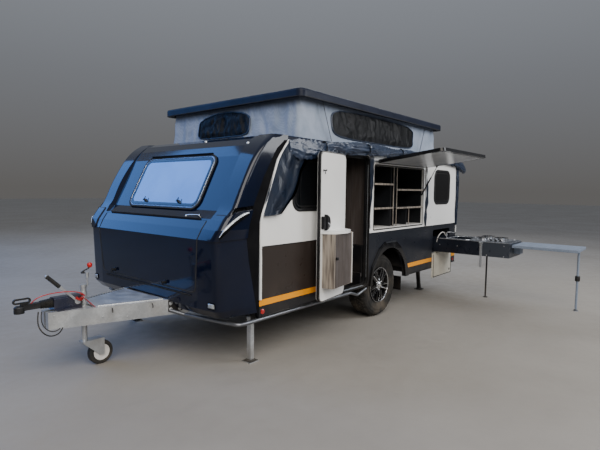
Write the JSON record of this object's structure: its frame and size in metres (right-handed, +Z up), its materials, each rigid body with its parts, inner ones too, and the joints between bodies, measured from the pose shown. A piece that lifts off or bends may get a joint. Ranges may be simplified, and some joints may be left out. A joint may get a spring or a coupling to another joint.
{
  "type": "off-road caravan",
  "caption": "Off-road travel trailer parked with its pop-top raised, side door and galley hatch open, slide-out kitchen run out, and drawbar with nose wheel.",
  "frame": {"origin": "middle of the 50 mm tow ball in the coupler", "axes": "+X forward, the way the caravan is towed, +Y to its left, +Z up"},
  "size_m": [6.115, 4.058, 2.505],
  "materials": {
    "galvanised": "galvanised",
    "black_steel": "satin",
    "navy": "gloss",
    "nose": "gloss",
    "white": "gloss",
    "black_plastic": "satin",
    "rubber": "matte",
    "tyre": "matte",
    "alloy": "machined",
    "aluminium": "satin",
    "acrylic": "gloss",
    "wood": "satin",
    "liner": "satin",
    "drawer": "satin",
    "steel": "brushed",
    "chrome": "polished",
    "canvas": "woven",
    "awning": "coated",
    "foam": "woven",
    "lamp": "clear",
    "lamp_clear": "clear"
  },
  "bodies": {
    "caravan": {"chassis_rails": "galvanised", "cross_members": "black_steel", "drawbar_deck": "galvanised", "coupling_head": "black_steel", "bellows": "rubber", "overrun_housing": "navy", "handbrake_lever": "black_steel", "jockey_clamp": "galvanised", "trailing_arms": "black_steel", "coil_springs": "black_steel", "floor": "wood", "wheel_boxes": "black_plastic", "step_well": "black_plastic", "wall_left": "white", "wall_right": "white", "wall_rear": "white", "roof_deck": "nose", "wheel_flares": "black_plastic", "nose_moulding": "nose", "front_window": "acrylic", "side_windows": "acrylic", "door_frame": "black_plastic", "hinge_rails": "aluminium", "galley_bay": "liner", "drawer_bay": "liner", "drawer_prop": "black_steel", "pop_top_canvas": "canvas", "awning_fabric": "awning", "awning_rails": "aluminium", "side_guards": "black_steel", "furniture": "wood", "mattress": "foam", "nose_bands": "nose", "front_lamps": "lamp_clear", "rear_lamps": "lamp"},
    "wheel_left": {"tyre_left": "tyre", "rim_left": "alloy"},
    "wheel_right": {"tyre_right": "tyre", "rim_right": "alloy"},
    "jockey_stem": {"jockey_stem": "galvanised"},
    "jockey_fork": {"jockey_fork": "galvanised"},
    "jockey_wheel": {"jockey_wheel": "rubber"},
    "door": {"door": "white", "door_latch": "black_plastic", "door_cabinet": "wood", "door_shelf": "white"},
    "galley_hatch": {"galley_hatch": "white"},
    "drawer": {"kitchen_drawer": "drawer", "hob": "steel", "tap": "chrome", "table": "aluminium", "table_leg": "aluminium"},
    "drawer_flap": {"drawer_flap": "white"},
    "storage_hatch": {"storage_hatch": "nose"},
    "roof_lid": {"roof_lid": "nose"},
    "steady_front_left": {"steady_front_left": "black_steel"},
    "steady_front_right": {"steady_front_right": "black_steel"},
    "steady_rear_left": {"steady_rear_left": "black_steel"},
    "steady_rear_right": {"steady_rear_right": "black_steel"}
  },
  "joints": [
    {"name": "wheel_left_spin", "type": "hinge", "parent": "caravan", "child": "wheel_left", "pos_m": [-3.65, 0.93, -0.198], "axis": [0, 1, 0], "continuous": true},
    {"name": "wheel_right_spin", "type": "hinge", "parent": "caravan", "child": "wheel_right", "pos_m": [-3.65, -0.93, -0.198], "axis": [0, 1, 0], "continuous": true},
    {"name": "jockey_raise", "type": "slide", "parent": "caravan", "child": "jockey_stem", "axis": [0, 0, 1], "range_m": [-0.03, 0.18]},
    {"name": "jockey_swivel", "type": "hinge", "parent": "jockey_stem", "child": "jockey_fork", "pos_m": [-0.495, 0, -0.355], "axis": [0, 0, 1], "continuous": true},
    {"name": "jockey_roll", "type": "hinge", "parent": "jockey_fork", "child": "jockey_wheel", "pos_m": [-0.63, 0, -0.48], "axis": [0, 1, 0], "continuous": true},
    {"name": "door_hinge", "type": "hinge", "parent": "caravan", "child": "door", "pos_m": [-2.72, 1.114, 0.595], "axis": [0, 0, 1], "range_deg": [0, 171.5]},
    {"name": "galley_hatch_hinge", "type": "hinge", "parent": "caravan", "child": "galley_hatch", "pos_m": [-4.04, 1.122, 1.295], "axis": [-1, 0, 0], "range_deg": [0, 97.7]},
    {"name": "drawer_slide", "type": "slide", "parent": "caravan", "child": "drawer", "axis": [0, -1, 0], "range_m": [0, 1.05]},
    {"name": "drawer_flap_hinge", "type": "hinge", "parent": "caravan", "child": "drawer_flap", "pos_m": [-5.355, 1.116, 0.07], "axis": [1, 0, 0], "range_deg": [0, 90]},
    {"name": "storage_hatch_hinge", "type": "hinge", "parent": "caravan", "child": "storage_hatch", "pos_m": [-1.152, 0, 0.709], "axis": [0, -1, 0], "range_deg": [0, 75]},
    {"name": "roof_lift", "type": "slide", "parent": "caravan", "child": "roof_lid", "axis": [0, 0, -1], "range_m": [0, 0.375], "deforming": ["pop_top_canvas"]},
    {"name": "steady_front_left_fold", "type": "hinge", "parent": "caravan", "child": "steady_front_left", "pos_m": [-1.54, 0.96, -0.185], "axis": [0, 1, 0], "range_deg": [0, 90]},
    {"name": "steady_front_right_fold", "type": "hinge", "parent": "caravan", "child": "steady_front_right", "pos_m": [-1.54, -0.96, -0.185], "axis": [0, 1, 0], "range_deg": [0, 90]},
    {"name": "steady_rear_left_fold", "type": "hinge", "parent": "caravan", "child": "steady_rear_left", "pos_m": [-5.35, 0.73, -0.185], "axis": [0, 1, 0], "range_deg": [0, 79]},
    {"name": "steady_rear_right_fold", "type": "hinge", "parent": "caravan", "child": "steady_rear_right", "pos_m": [-5.35, -0.73, -0.185], "axis": [0, 1, 0], "range_deg": [0, 79]}
  ]
}
